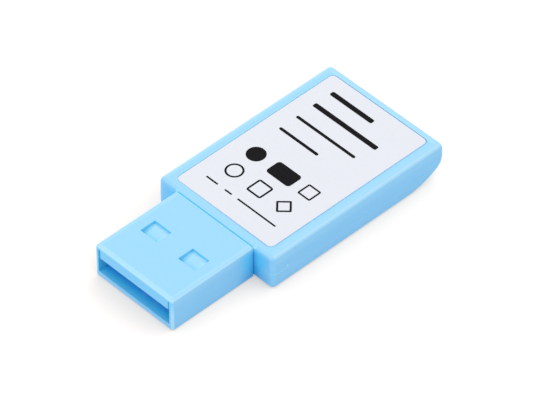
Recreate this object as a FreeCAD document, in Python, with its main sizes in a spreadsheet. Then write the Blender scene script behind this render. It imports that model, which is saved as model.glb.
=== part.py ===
import FreeCAD, Part
import math
import os

import Sketcher

# A slim radio stick with a plastic USB-A plug, lying with its label up.
# X runs across the stick, Y from the plug's tip to the tail, Z up. The origin is under the
# middle of the stick, on the face that it lies on. Inside each sub-part Y is counted from the
# plug's tip, and the sub-part's Placement moves it back by half the stick's length.

SIZES = [
    ("plug_length", 11.95, "plug, from its tip to the body"),
    ("plug_width", 12.1, "plug, standard width and a little over"),
    ("plug_height", 4.5, "plug, standard height"),
    ("plug_rise", 0.02, "underside of the plug above the underside of the body"),
    ("plug_top_wall", 0.36, "sleeve wall over the tongue"),
    ("plug_side_wall", 0.5, "sleeve wall at each side"),
    ("plug_floor_wall", 0.85, "sleeve wall under the slot"),
    ("plug_edge_radius", 0.34, "rounding of the sleeve's outer edges"),
    ("crease_bevel", 0.12, "bevel round the sleeve's end at the body"),
    ("window_setback", 4.98, "latch windows, front edge from the tip"),
    ("window_length", 2.15, "latch windows along the plug"),
    ("window_width", 2.6, "latch windows across the plug"),
    ("window_spacing", 5.93, "latch windows, centre to centre"),
    ("window_front_depth", 0.6, "floor of a latch window below the plug's top, at its front"),
    ("window_back_depth", 0.4, "floor of a latch window below the plug's top, at its back"),
    ("tongue_drop", 1.75, "underside of the tongue below the plug's top"),
    ("tongue_setback", 0.06, "front of the tongue from the plug's tip"),
    ("tongue_nose", 0.4, "narrower front end of the tongue"),
    ("tongue_side_gap", 0.26, "gap between that front end and the sleeve's side wall"),
    ("tongue_lead", 0.15, "bevel along the tongue's lower front edge"),
    ("slot_depth", 9.5, "slot, from the tip to the carrier's block"),
    ("neck_width", 10.4, "carrier where it passes the body's front wall"),
    ("ear_reach", 1.2, "carrier's ears beyond the neck, each side"),
    ("ear_thickness", 0.8, "carrier's ears along the stick"),
    ("seat_gap", 0.03, "clearance where one moulding seats in another"),
    ("contact_thickness", 0.2, "contact strip"),
    ("contact_width", 1.0, "contact strip"),
    ("data_pitch", 2.0, "inner two contacts, centre to centre"),
    ("power_pitch", 7.0, "outer two contacts, centre to centre"),
    ("data_setback", 2.1, "front of the inner contacts from the tip"),
    ("power_setback", 1.1, "front of the outer contacts from the tip"),
    ("contact_hook", 0.35, "turned-up front end of a contact"),
    ("contact_tail", 1.2, "contact under the circuit board"),
    ("channel_gap", 0.02, "clearance round a contact in the carrier"),
    ("body_width", 17.98, "body at the parting line"),
    ("body_length", 25.95, "body, from its front face to the tail"),
    ("parting_height", 2.15, "parting line above the underside"),
    ("draft_angle", 1.5, "lean of the side walls, degrees"),
    ("shell_wall", 0.9, "underside and side walls"),
    ("front_wall", 1.0, "wall that the plug stands against"),
    ("top_wall", 0.69, "top wall under the label"),
    ("bow_radius", 8.6, "upsweep of the underside towards the tail"),
    ("bow_angle", 32.0, "turn of that upsweep, degrees"),
    ("tip_radius", 2.1, "rounding from the upsweep to the tail face"),
    ("top_side_radius", 0.75, "rounding of the long top edges"),
    ("outline_radius", 0.6, "rounding of the other outer edges"),
    ("brow_radius", 0.1, "rounding of the top's front edge over the plug"),
    ("parting_bevel", 0.03, "edge break along the parting line"),
    ("lip_thickness", 0.4, "lip of the bottom shell inside the top shell"),
    ("lip_height", 0.5, "lip above the parting line"),
    ("lip_gap", 0.05, "clearance round the lip"),
    ("label_side_margin", 1.58, "label from the widest part of the body's sides"),
    ("label_front_margin", 1.2, "label from the body's front face"),
    ("label_tail_margin", 1.03, "label from the tail face"),
    ("label_corner", 0.58, "label corner radius"),
    ("label_thickness", 0.08, "printed film"),
    ("recess_depth", 0.12, "label recess"),
    ("recess_gap", 0.07, "gap round the label in its recess"),
    ("board_thickness", 0.8, "circuit board"),
    ("board_gap", 0.2, "circuit board to the walls round it"),
    ("board_lift", 0.02, "circuit board to the top shell"),
    ("board_corner", 0.8, "circuit board corner radius"),
    ("post_radius", 1.1, "posts that the board rests on"),
    ("pin_radius", 0.6, "pins through the board"),
    ("pin_gap", 0.08, "clearance round a pin"),
    ("pin_shy", 0.1, "end of a pin below the top of the board"),
    ("post_margin", 1.75, "posts from the side walls, to their centres"),
    ("front_post_place", 5.4, "front post from the body's front face"),
    ("rear_post_setback", 5.9, "rear post from the tail end of the board"),
    ("radio_side", 5.0, "radio chip, square"),
    ("radio_height", 0.85, "radio chip"),
    ("radio_across", 1.3, "radio chip from the middle"),
    ("bridge_side", 4.0, "serial bridge chip, square"),
    ("bridge_height", 0.8, "serial bridge chip"),
    ("bridge_across", -2.4, "serial bridge chip from the middle"),
    ("bridge_place", 8.6, "serial bridge chip from the body's front face"),
    ("crystal_width", 2.0, "crystal across the stick"),
    ("crystal_length", 2.5, "crystal along the stick"),
    ("crystal_height", 0.6, "crystal"),
    ("crystal_margin", 0.85, "crystal from the side of the board"),
    ("crystal_lead", 1.0, "crystal ahead of the radio chip, centre to centre"),
    ("antenna_width", 5.2, "ceramic antenna across the stick"),
    ("antenna_length", 1.6, "ceramic antenna along the stick"),
    ("antenna_height", 0.7, "ceramic antenna"),
    ("antenna_margin", 0.5, "ceramic antenna from the tail end of the board"),
    ("package_width", 2.9, "small leaded packages across the stick"),
    ("package_length", 1.6, "small leaded packages along the stick"),
    ("package_height", 1.1, "small leaded packages"),
    ("package_standoff", 0.1, "small leaded packages below the board"),
    ("lead_span", 2.8, "small leaded packages over their leads"),
    ("lead_foot", 0.35, "foot of a lead on the board"),
    ("lead_width", 0.4, "one lead"),
    ("lead_thickness", 0.15, "one lead"),
    ("lead_pitch", 0.95, "lead to lead"),
    ("regulator_across", 3.6, "voltage regulator from the middle"),
    ("regulator_place", 8.4, "voltage regulator from the body's front face"),
    ("protector_across", 0.0, "surge protector from the middle"),
    ("protector_place", 5.0, "surge protector from the body's front face"),
    ("bead_width", 1.25, "ferrite bead across the stick"),
    ("bead_length", 2.0, "ferrite bead along the stick"),
    ("bead_height", 0.9, "ferrite bead"),
    ("bead_across", -3.5, "ferrite bead from the middle"),
    ("bead_place", 5.0, "ferrite bead from the body's front face"),
    ("small_length", 1.0, "small capacitors, resistors and inductors"),
    ("small_width", 0.5, "small capacitors, resistors and inductors"),
    ("capacitor_height", 0.5, "small capacitors"),
    ("resistor_height", 0.35, "small resistors"),
    ("inductor_height", 0.55, "small inductors"),
    ("small_pitch", 1.1, "small parts side by side, centre to centre"),
    ("inductor_pitch", 1.2, "inductors end to end, centre to centre"),
    ("small_margin", 0.5, "small parts from the chip that they serve"),
]

# Levels and places that follow from the sizes, each a formula on a second sheet.
PLACES = [
    ("total_length", "sizes.plug_length + sizes.body_length"),
    ("plug_top", "sizes.plug_rise + sizes.plug_height"),
    ("tongue_bottom", "plug_top - sizes.tongue_drop"),
    ("tongue_top", "plug_top - sizes.plug_top_wall"),
    ("slot_floor", "sizes.plug_rise + sizes.plug_floor_wall"),
    ("sleeve_inside", "sizes.plug_width - 2 * sizes.plug_side_wall"),
    ("carrier_width", "sleeve_inside - 2 * sizes.seat_gap"),
    ("nose_width", "sleeve_inside - 2 * sizes.tongue_side_gap"),
    ("nose_end", "sizes.tongue_setback + sizes.tongue_nose"),
    ("board_bottom", "tongue_bottom + sizes.contact_thickness"),
    ("board_top", "board_bottom + sizes.board_thickness"),
    ("ceiling", "board_top + sizes.board_lift"),
    ("recess_floor", "ceiling + sizes.top_wall"),
    ("body_height", "recess_floor + sizes.recess_depth"),
    ("lip_top", "sizes.parting_height + sizes.lip_height"),
    ("inside_width", "sizes.body_width - 2 * sizes.shell_wall"),
    ("inside_front", "sizes.plug_length + sizes.front_wall"),
    ("neck_opening", "sizes.neck_width + 2 * sizes.seat_gap"),
    ("ear_front", "inside_front + sizes.seat_gap"),
    ("ear_end", "ear_front + sizes.ear_thickness"),
    ("bow_drop", "sizes.bow_radius - sizes.tip_radius"),
    ("tip_centre_y", "total_length - sizes.tip_radius"),
    ("tip_centre_z", "sizes.bow_radius - bow_drop * cos(sizes.bow_angle * 1 deg)"),
    ("bow_start", "tip_centre_y - bow_drop * sin(sizes.bow_angle * 1 deg)"),
    ("bow_end_y", "bow_start + sizes.bow_radius * sin(sizes.bow_angle * 1 deg)"),
    ("bow_end_z", "sizes.bow_radius * (1 - cos(sizes.bow_angle * 1 deg))"),
    ("tip_at_parting", "sqrt(sizes.tip_radius ^ 2 - (tip_centre_z - sizes.parting_height) ^ 2)"),
    ("tail_at_parting", "tip_centre_y + tip_at_parting"),
    ("inner_bow", "sizes.bow_radius - sizes.shell_wall"),
    ("inner_reach", "sqrt(inner_bow ^ 2 - (sizes.bow_radius - sizes.parting_height) ^ 2)"),
    ("lip_inner_tail", "bow_start + inner_reach"),
    ("lip_outer_tail", "lip_inner_tail + sizes.lip_thickness"),
    ("inside_tail", "lip_outer_tail + sizes.lip_gap"),
    ("board_width", "inside_width - 2 * sizes.board_gap"),
    ("board_front", "ear_end + sizes.board_gap"),
    ("board_end", "inside_tail - sizes.board_gap"),
    ("contact_end", "board_front + sizes.contact_tail"),
    ("label_width", "sizes.body_width - 2 * sizes.label_side_margin"),
    ("label_front", "sizes.plug_length + sizes.label_front_margin"),
    ("label_end", "total_length - sizes.label_tail_margin"),
    ("post_across", "inside_width / 2 - sizes.post_margin"),
    ("front_post", "sizes.plug_length + sizes.front_post_place"),
    ("rear_post", "board_end - sizes.rear_post_setback"),
    ("bridge_along", "sizes.plug_length + sizes.bridge_place"),
    ("bead_along", "sizes.plug_length + sizes.bead_place"),
    ("small_reach", "sizes.small_margin + sizes.small_length / 2"),
    ("antenna_along", "board_end - sizes.antenna_margin - sizes.antenna_length / 2"),
    ("last_inductor", "antenna_along - sizes.antenna_length / 2 - small_reach"),
    ("first_inductor", "last_inductor - 2 * sizes.inductor_pitch"),
    ("radio_along", "first_inductor - small_reach - sizes.radio_side / 2"),
    ("crystal_along", "radio_along - sizes.crystal_lead"),
    ("crystal_across", "board_width / 2 - sizes.crystal_margin - sizes.crystal_width / 2"),
]

doc = FreeCAD.newDocument("usb_radio_stick")

sizes = doc.addObject("Spreadsheet::Sheet", "sizes")
for row, (alias, size, meaning) in enumerate(SIZES, 1):
    sizes.set(f"A{row}", meaning)
    sizes.set(f"B{row}", str(size))
    sizes.setAlias(f"B{row}", alias)
doc.recompute()

places = doc.addObject("Spreadsheet::Sheet", "places")
for row, (alias, formula) in enumerate(PLACES, 1):
    places.set(f"A{row}", "=" + formula)
    places.setAlias(f"A{row}", alias)
doc.recompute()


def number(expression):
    """What an expression on the two sheets comes to."""
    return float(sizes.evalExpression(expression))


def new_body(name, across="0"):
    """A sub-part of its own, moved back by half the stick's length."""
    body = doc.addObject("PartDesign::Body", name)
    body.Label = name
    body.setExpression("Placement.Base.x", across)
    body.setExpression("Placement.Base.y", "-places.total_length / 2")
    return body


def origin_plane(body, role):
    """One of the body's own origin planes."""
    return [feature for feature in body.Origin.OriginFeatures if feature.Role == role][0]


def sketch_on(body, name, role, offset="0"):
    """An empty sketch on an origin plane of the body, raised by an offset."""
    sketch = body.newObject("Sketcher::SketchObject", f"{body.Name}_{name}")
    sketch.AttachmentSupport = [(origin_plane(body, role), "")]
    sketch.MapMode = "FlatFace"
    sketch.setExpression("AttachmentOffset.Base.z", offset)
    return sketch


def hold(sketch, kind, ends, expression):
    """A dimension of the sketch, bound to an expression."""
    index = sketch.addConstraint(Sketcher.Constraint(kind, *ends, number(expression)))
    sketch.setExpression(f"Constraints[{index}]", expression)


def spot_at(pair):
    """Where a pair of expressions lies in a sketch."""
    return FreeCAD.Vector(number(pair[0]), number(pair[1]), 0)


def draw_outline(sketch, corners, centres=None):
    """A closed outline through corners, each held in x and y, or in what its third word says.

    A side whose number is in centres is an arc, drawn counterclockwise about that centre.
    """
    centres = centres or {}
    spots = [spot_at(corner) for corner in corners]
    first = sketch.GeometryCount
    for side, start in enumerate(spots):
        end = spots[(side + 1) % len(spots)]
        if side in centres:
            centre = spot_at(centres[side])
            circle = Part.Circle(centre, FreeCAD.Vector(0, 0, 1), (end - centre).Length)
            turns = [math.atan2(spot.y - centre.y, spot.x - centre.x) for spot in (start, end)]
            sketch.addGeometry(Part.ArcOfCircle(circle, turns[0], turns[1]), False)
        else:
            sketch.addGeometry(Part.LineSegment(start, end), False)
    for side in range(len(spots)):
        follower = first + (side + 1) % len(spots)
        sketch.addConstraint(Sketcher.Constraint("Coincident", first + side, 2, follower, 1))
    for side, corner in enumerate(corners):
        held = corner[2] if len(corner) > 2 else "xy"
        if "x" in held:
            hold(sketch, "DistanceX", (-1, 1, first + side, 1), corner[0])
        if "y" in held:
            hold(sketch, "DistanceY", (-1, 1, first + side, 1), corner[1])
    for side, centre in centres.items():
        hold(sketch, "DistanceX", (-1, 1, first + side, 3), centre[0])
        hold(sketch, "DistanceY", (-1, 1, first + side, 3), centre[1])


def draw_box(sketch, left, right, low, high):
    """A rectangle held by its four sides."""
    draw_outline(sketch, [(left, low), (right, low), (right, high), (left, high)])


def draw_centred_box(sketch, width, low, high):
    """A rectangle centred on the sketch's upright axis."""
    draw_box(sketch, f"-({width}) / 2", f"({width}) / 2", low, high)


def draw_circle(sketch, across, along, radius):
    """A circle held by its centre and radius."""
    circle = Part.Circle(spot_at((across, along)), FreeCAD.Vector(0, 0, 1), number(radius))
    index = sketch.addGeometry(circle, False)
    hold(sketch, "DistanceX", (-1, 1, index, 3), across)
    hold(sketch, "DistanceY", (-1, 1, index, 3), along)
    hold(sketch, "Radius", (index,), radius)


def extrude(body, kind, sketch, length, way="ahead"):
    """A Pad or Pocket of a sketch, ahead along its normal, back against it, or both alike."""
    before = body.Tip.Shape.Volume if body.Tip else 0.0
    feature = body.newObject(f"PartDesign::{kind}", f"{sketch.Name}_{kind.lower()}")
    feature.Profile = sketch
    feature.SideType = "Symmetric" if way == "both" else "One side"
    feature.Reversed = (way == "back") == (kind == "Pad")
    feature.setExpression("Length", length)
    doc.recompute()
    gained = feature.Shape.Volume - before
    if (gained > 0) != (kind == "Pad"):
        raise RuntimeError(f"{feature.Name} changes the volume by {gained:.4f}")
    return feature


def mirror(body, feature):
    """The feature once more, across the middle of the stick."""
    copy = body.newObject("PartDesign::Mirrored", f"{feature.Name}_mirrored")
    copy.Originals = [feature]
    copy.MirrorPlane = (origin_plane(body, "YZ_Plane"), [""])
    body.Tip = copy
    doc.recompute()


def dress(body, kind, expression, test):
    """A Fillet or Chamfer on those edges of the body so far that pass a test."""
    base = body.Tip
    names = [f"Edge{index}" for index, edge in enumerate(base.Shape.Edges, 1) if test(edge.BoundBox)]
    if not names:
        raise RuntimeError(f"{body.Name} has no edge for {expression}")
    feature = body.newObject(f"PartDesign::{kind}", f"{body.Name}_{kind.lower()}")
    feature.Base = (base, names)
    feature.setExpression("Radius" if kind == "Fillet" else "Size", expression)
    doc.recompute()


def same(value, target):
    """Whether a coordinate is that of a face, to well within any radius."""
    return abs(value - target) < 0.001


def runs_along(box, axis):
    """Whether an edge's box runs along one axis alone, or nearly so on a drafted wall."""
    lengths = {"X": box.XLength, "Y": box.YLength, "Z": box.ZLength}
    longest = lengths.pop(axis)
    return all(length < 0.1 * longest for length in lengths.values())


def level_at(box, height):
    """Whether an edge's box lies in the level plane at a height."""
    return same(box.ZMin, height) and same(box.ZMax, height)


def pad_half(body, level):
    """The housing between the parting line and another level, its side walls leaning inwards."""
    section = sketch_on(body, "section", "XZ_Plane", "-sizes.plug_length")
    lean = f"abs({level} - sizes.parting_height) * tan(sizes.draft_angle * 1 deg)"
    corners = [
        ("-sizes.body_width / 2", "sizes.parting_height"),
        (f"-(sizes.body_width / 2 - {lean})", level),
        (f"sizes.body_width / 2 - {lean}", level),
        ("sizes.body_width / 2", "sizes.parting_height"),
    ]
    draw_outline(section, corners)
    extrude(body, "Pad", section, "sizes.body_length", "back")


def outer_edges(box):
    """Edges of an undressed shell that are rounded: all but those at the parting line and
    the smooth ones, which run across the stick behind its front face."""
    front = number("sizes.plug_length")
    if level_at(box, number("sizes.parting_height")):
        return False
    smooth = runs_along(box, "X") and box.YMin > front + 0.001
    return not smooth or level_at(box, number("places.body_height"))


def make_bottom_shell():
    """Lower half of the housing: flat underside sweeping up to the tail, a lip that enters
    the top shell, two posts with pins for the circuit board."""
    body = new_body("bottom_shell")
    pad_half(body, "0")
    sweep = sketch_on(body, "sweep", "YZ_Plane")
    corners = [
        ("places.bow_start", "0"),
        ("places.bow_end_y", "places.bow_end_z", "x"),
        ("places.tail_at_parting", "sizes.parting_height", "y"),
        ("places.total_length + 1", "sizes.parting_height"),
        ("places.total_length + 1", "-1"),
        ("places.bow_start", "-1"),
    ]
    bow = ("places.bow_start", "sizes.bow_radius")
    tip = ("places.tip_centre_y", "places.tip_centre_z")
    draw_outline(sweep, corners, {0: bow, 1: tip})
    extrude(body, "Pocket", sweep, "sizes.body_width", "both")
    dress(body, "Fillet", "sizes.outline_radius", outer_edges)
    parting = number("sizes.parting_height")
    dress(body, "Chamfer", "sizes.parting_bevel", lambda box: level_at(box, parting))

    lip = sketch_on(body, "lip", "XY_Plane", "sizes.parting_height")
    lip_front = "places.inside_front - sizes.lip_thickness"
    lip_width = "places.inside_width + 2 * sizes.lip_thickness"
    draw_centred_box(lip, lip_width, lip_front, "places.lip_outer_tail")
    extrude(body, "Pad", lip, "sizes.lip_height")

    cavity = sketch_on(body, "cavity", "YZ_Plane")
    corners = [
        ("places.inside_front", "places.lip_top"),
        ("places.inside_front", "sizes.shell_wall"),
        ("places.bow_start", "sizes.shell_wall"),
        ("places.lip_inner_tail", "sizes.parting_height", "y"),
        ("places.lip_inner_tail", "places.lip_top"),
    ]
    draw_outline(cavity, corners, {2: bow})
    extrude(body, "Pocket", cavity, "places.inside_width", "both")

    notch = sketch_on(body, "notch", "XZ_Plane", "-places.inside_front")
    draw_centred_box(notch, "places.neck_opening", "sizes.shell_wall", "places.lip_top")
    extrude(body, "Pocket", notch, "sizes.front_wall")

    posts = sketch_on(body, "posts", "XY_Plane", "sizes.shell_wall")
    pins = sketch_on(body, "pins", "XY_Plane", "places.board_bottom")
    for sketch, radius in ((posts, "sizes.post_radius"), (pins, "sizes.pin_radius")):
        draw_circle(sketch, "-places.post_across", "places.front_post", radius)
        draw_circle(sketch, "places.post_across", "places.rear_post", radius)
    extrude(body, "Pad", posts, "places.board_bottom - sizes.shell_wall")
    extrude(body, "Pad", pins, "sizes.board_thickness - sizes.pin_shy")


def make_top_shell():
    """Upper half of the housing: label recess on top, its front edge nearly square over the
    plug, a rebate for the lip inside."""
    body = new_body("top_shell")
    pad_half(body, "places.body_height")
    sweep = sketch_on(body, "sweep", "YZ_Plane")
    corners = [
        ("places.tail_at_parting", "sizes.parting_height", "y"),
        ("places.total_length", "places.tip_centre_z"),
        ("places.total_length + 1", "places.tip_centre_z"),
        ("places.total_length + 1", "sizes.parting_height"),
    ]
    draw_outline(sweep, corners, {0: ("places.tip_centre_y", "places.tip_centre_z")})
    extrude(body, "Pocket", sweep, "sizes.body_width", "both")
    top = number("places.body_height")
    dress(body, "Fillet", "sizes.top_side_radius", lambda box: level_at(box, top) and runs_along(box, "Y"))
    dress(body, "Fillet", "sizes.outline_radius", lambda box: outer_edges(box) and not runs_along(box, "Y"))

    brow = sketch_on(body, "brow", "XY_Plane", "places.body_height")
    draw_centred_box(brow, "sizes.plug_width", "sizes.plug_length", "places.inside_front")
    extrude(body, "Pad", brow, "1.2 * sizes.outline_radius", "back")
    brow_edge = lambda box: same(box.ZMin, top) and same(box.YMax, number("sizes.plug_length"))
    dress(body, "Fillet", "sizes.brow_radius", brow_edge)

    cavity = sketch_on(body, "cavity", "YZ_Plane")
    draw_box(cavity, "places.inside_front", "places.inside_tail", "sizes.parting_height", "places.ceiling")
    extrude(body, "Pocket", cavity, "places.inside_width", "both")

    rebate = sketch_on(body, "rebate", "XY_Plane", "sizes.parting_height")
    rebate_front = "places.inside_front - sizes.lip_thickness - sizes.lip_gap"
    rebate_width = "places.inside_width + 2 * sizes.lip_thickness + 2 * sizes.lip_gap"
    draw_centred_box(rebate, rebate_width, rebate_front, "places.inside_tail")
    extrude(body, "Pocket", rebate, "sizes.lip_height + sizes.lip_gap")

    notch = sketch_on(body, "notch", "XZ_Plane", "-places.inside_front")
    draw_centred_box(notch, "places.neck_opening", "sizes.parting_height", "places.ceiling")
    extrude(body, "Pocket", notch, "sizes.front_wall")

    recess = sketch_on(body, "recess", "XY_Plane", "places.body_height")
    recess_front = "places.label_front - sizes.recess_gap"
    recess_end = "places.label_end + sizes.recess_gap"
    draw_centred_box(recess, "places.label_width + 2 * sizes.recess_gap", recess_front, recess_end)
    extrude(body, "Pocket", recess, "sizes.recess_depth", "back")
    floor = number("places.recess_floor")
    in_recess = lambda box: same(box.ZMin, floor) and same(box.ZMax, top) and runs_along(box, "Z")
    dress(body, "Fillet", "sizes.label_corner + sizes.recess_gap", in_recess)


def make_plug_sleeve():
    """The plug's outer sleeve: a rectangular tube with two latch windows on each flat side and
    a bevel round its end, which leaves a fine groove at the body."""
    body = new_body("plug_sleeve")
    outside = sketch_on(body, "outside", "XZ_Plane")
    draw_centred_box(outside, "sizes.plug_width", "sizes.plug_rise", "places.plug_top")
    extrude(body, "Pad", outside, "sizes.plug_length", "back")
    rear = number("sizes.plug_length")
    dress(body, "Fillet", "sizes.plug_edge_radius", lambda box: box.YMin < rear - 0.001)
    dress(body, "Chamfer", "sizes.crease_bevel", lambda box: same(box.YMin, rear) and same(box.YMax, rear))

    inside = sketch_on(body, "inside", "XZ_Plane")
    draw_centred_box(inside, "places.sleeve_inside", "places.slot_floor", "places.tongue_top")
    extrude(body, "Pocket", inside, "sizes.plug_length", "back")

    window = sketch_on(body, "window", "XY_Plane", "places.plug_top")
    window_left = "(sizes.window_spacing - sizes.window_width) / 2"
    window_right = "(sizes.window_spacing + sizes.window_width) / 2"
    window_end = "sizes.window_setback + sizes.window_length"
    draw_box(window, window_left, window_right, "sizes.window_setback", window_end)
    mirror(body, extrude(body, "Pocket", window, "sizes.plug_height", "back"))


def make_contact_carrier():
    """Moulded insulator: the tongue that fills the top of the sleeve, with a narrower nose, the
    block behind the slot, a neck through the body's front wall and ears that the wall holds."""
    body = new_body("contact_carrier")
    block = sketch_on(body, "block", "XZ_Plane", "-sizes.plug_length")
    draw_centred_box(block, "places.carrier_width", "places.slot_floor + sizes.seat_gap", "places.tongue_top")
    extrude(body, "Pad", block, "sizes.plug_length - sizes.slot_depth")

    tongue = sketch_on(body, "tongue", "XZ_Plane", "-sizes.slot_depth")
    draw_centred_box(tongue, "places.carrier_width", "places.tongue_bottom", "places.tongue_top")
    extrude(body, "Pad", tongue, "sizes.slot_depth - places.nose_end")
    nose = sketch_on(body, "nose", "XZ_Plane", "-places.nose_end")
    draw_centred_box(nose, "places.nose_width", "places.tongue_bottom", "places.tongue_top")
    extrude(body, "Pad", nose, "sizes.tongue_nose")
    low = number("places.tongue_bottom")
    lead_edge = lambda box: level_at(box, low) and same(box.YMax, number("sizes.tongue_setback"))
    dress(body, "Chamfer", "sizes.tongue_lead", lead_edge)

    neck = sketch_on(body, "neck", "XZ_Plane", "-sizes.plug_length")
    ears = sketch_on(body, "ears", "XZ_Plane", "-places.ear_front")
    ear_width = "sizes.neck_width + 2 * sizes.ear_reach"
    for sketch, width in ((neck, "sizes.neck_width"), (ears, ear_width)):
        neck_top = "places.ceiling - sizes.seat_gap"
        draw_centred_box(sketch, width, "sizes.shell_wall + sizes.seat_gap", neck_top)
    extrude(body, "Pad", neck, "places.ear_front - sizes.plug_length", "back")
    extrude(body, "Pad", ears, "sizes.ear_thickness", "back")

    ramp = sketch_on(body, "ramp", "YZ_Plane", "sizes.window_spacing / 2")
    ramp_end = "sizes.window_setback + sizes.window_length"
    corners = [
        ("sizes.window_setback", "places.tongue_top"),
        ("sizes.window_setback", "places.plug_top - sizes.window_front_depth"),
        (ramp_end, "places.plug_top - sizes.window_back_depth"),
        (ramp_end, "places.tongue_top"),
    ]
    draw_outline(ramp, corners)
    mirror(body, extrude(body, "Pocket", ramp, "sizes.window_width", "both"))

    for kind in ("data", "power"):
        channel = sketch_on(body, f"{kind}_channel", "YZ_Plane", f"sizes.{kind}_pitch / 2")
        setback = f"sizes.{kind}_setback"
        front = f"{setback} - sizes.channel_gap"
        step = f"{setback} + sizes.contact_hook + sizes.contact_thickness"
        roof = "places.board_bottom + sizes.channel_gap"
        hook_roof = "places.board_bottom + sizes.contact_hook + sizes.channel_gap"
        corners = [
            (front, "places.tongue_bottom"),
            ("places.ear_end", "places.tongue_bottom"),
            ("places.ear_end", roof),
            (step, roof),
            (step, hook_roof),
            (front, hook_roof),
        ]
        draw_outline(channel, corners)
        width = "sizes.contact_width + 2 * sizes.channel_gap"
        mirror(body, extrude(body, "Pocket", channel, width, "both"))


def make_contact(name, kind, across):
    """A stamped contact strip: its front end is turned up into the tongue, its rear end lies
    under the circuit board."""
    body = new_body(name, across)
    strip = sketch_on(body, "strip", "YZ_Plane")
    front = f"sizes.{kind}_setback"
    slant = "sizes.contact_thickness * sin(45 deg)"
    bend = "sizes.contact_thickness * tan(22.5 deg)"
    corners = [
        (front, "places.tongue_bottom + sizes.contact_hook"),
        (f"{front} + sizes.contact_hook", "places.tongue_bottom"),
        ("places.contact_end", "places.tongue_bottom"),
        ("places.contact_end", "places.board_bottom"),
        (f"{front} + sizes.contact_hook + {bend}", "places.board_bottom"),
        (f"{front} + {slant}", f"places.tongue_bottom + sizes.contact_hook + {slant}"),
    ]
    draw_outline(strip, corners)
    extrude(body, "Pad", strip, "sizes.contact_width", "both")


def make_circuit_board():
    """The board: it lies on the posts, with every part on its lower side."""
    body = new_body("circuit_board")
    outline = sketch_on(body, "outline", "XY_Plane", "places.board_bottom")
    draw_centred_box(outline, "places.board_width", "places.board_front", "places.board_end")
    extrude(body, "Pad", outline, "sizes.board_thickness")
    dress(body, "Fillet", "sizes.board_corner", lambda box: runs_along(box, "Z"))
    holes = sketch_on(body, "holes", "XY_Plane", "places.board_top")
    hole_radius = "sizes.pin_radius + sizes.pin_gap"
    draw_circle(holes, "-places.post_across", "places.front_post", hole_radius)
    draw_circle(holes, "places.post_across", "places.rear_post", hole_radius)
    extrude(body, "Pocket", holes, "sizes.board_thickness", "back")


def make_label():
    """The printed film in the recess."""
    body = new_body("label")
    outline = sketch_on(body, "outline", "XY_Plane", "places.recess_floor")
    draw_centred_box(outline, "places.label_width", "places.label_front", "places.label_end")
    extrude(body, "Pad", outline, "sizes.label_thickness")
    dress(body, "Fillet", "sizes.label_corner", lambda box: runs_along(box, "Z"))


def make_leaded_package(name, word, near_leads, far_leads):
    """A small moulded package under the board, with bent leads along its two long sides."""
    body = new_body(name, f"sizes.{word}_across")
    top = "places.board_bottom - sizes.package_standoff"
    case = sketch_on(body, "case", "XY_Plane", top)
    centre = f"(sizes.plug_length + sizes.{word}_place)"
    half = "sizes.package_length / 2"
    draw_centred_box(case, "sizes.package_width", f"{centre} - {half}", f"{centre} + {half}")
    extrude(body, "Pad", case, "sizes.package_height - sizes.package_standoff", "back")

    middle = "places.board_bottom - sizes.package_height / 2"
    thickness = "sizes.lead_thickness"
    for side, leads in ((-1, near_leads), (1, far_leads)):
        for lead in leads:
            bent = sketch_on(body, f"lead{side}_{lead}", "YZ_Plane", f"{lead} * sizes.lead_pitch")
            end = f"{centre} + {side} * sizes.lead_span / 2"
            knee = f"{end} - {side} * sizes.lead_foot"
            shin = f"{knee} - {side} * {thickness}"
            root = f"{centre} + {side} * {half} * 0.8"
            corners = [
                (root, f"{middle} - {thickness} / 2"),
                (knee, f"{middle} - {thickness} / 2"),
                (knee, f"places.board_bottom - {thickness}"),
                (end, f"places.board_bottom - {thickness}"),
                (end, "places.board_bottom"),
                (shin, "places.board_bottom"),
                (shin, f"{middle} + {thickness} / 2"),
                (root, f"{middle} + {thickness} / 2"),
            ]
            draw_outline(bent, corners)
            extrude(body, "Pad", bent, "sizes.lead_width", "both")


def block_under_board(name, width, length, height, across, along):
    """A plain block that hangs under the board, its centre across and along as told."""
    block = doc.addObject("Part::Box", name)
    block.Label = name
    block.setExpression("Length", width)
    block.setExpression("Width", length)
    block.setExpression("Height", height)
    block.setExpression("Placement.Base.x", f"{across} - {width} / 2")
    block.setExpression("Placement.Base.y", f"{along} - {length} / 2 - places.total_length / 2")
    block.setExpression("Placement.Base.z", f"places.board_bottom - {height}")
    return block


def make_single_parts():
    """The chips and the other single parts on the board."""
    named = (
        ("radio_chip", "radio", "side", "side", "sizes.radio_across"),
        ("serial_bridge_chip", "bridge", "side", "side", "sizes.bridge_across"),
        ("ferrite_bead", "bead", "width", "length", "sizes.bead_across"),
        ("radio_crystal", "crystal", "width", "length", "places.crystal_across"),
        ("chip_antenna", "antenna", "width", "length", "0"),
    )
    for name, word, width, length, across in named:
        outline = (f"sizes.{word}_{width}", f"sizes.{word}_{length}", f"sizes.{word}_height")
        block_under_board(name, *outline, across, f"places.{word}_along")


def make_group(name, word, spots, turned):
    """Like small parts in one node, each a block of its own, its length across if turned."""
    width, length = ("length", "width") if turned else ("width", "length")
    outline = (f"sizes.small_{width}", f"sizes.small_{length}", f"sizes.{word}_height")
    blocks = []
    for index, (across, along) in enumerate(spots):
        blocks.append(block_under_board(f"{word}_{index}", *outline, across, along))
    group = doc.addObject("Part::Compound", name)
    group.Label = name
    group.Links = blocks


def column_beside(word, side, steps):
    """Spots in a column at one side of a chip, a small part's reach away from it."""
    across = f"(sizes.{word}_across + {side} * (sizes.{word}_side / 2 + places.small_reach))"
    return [(across, f"(places.{word}_along + {step} * sizes.small_pitch)") for step in steps]


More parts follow.
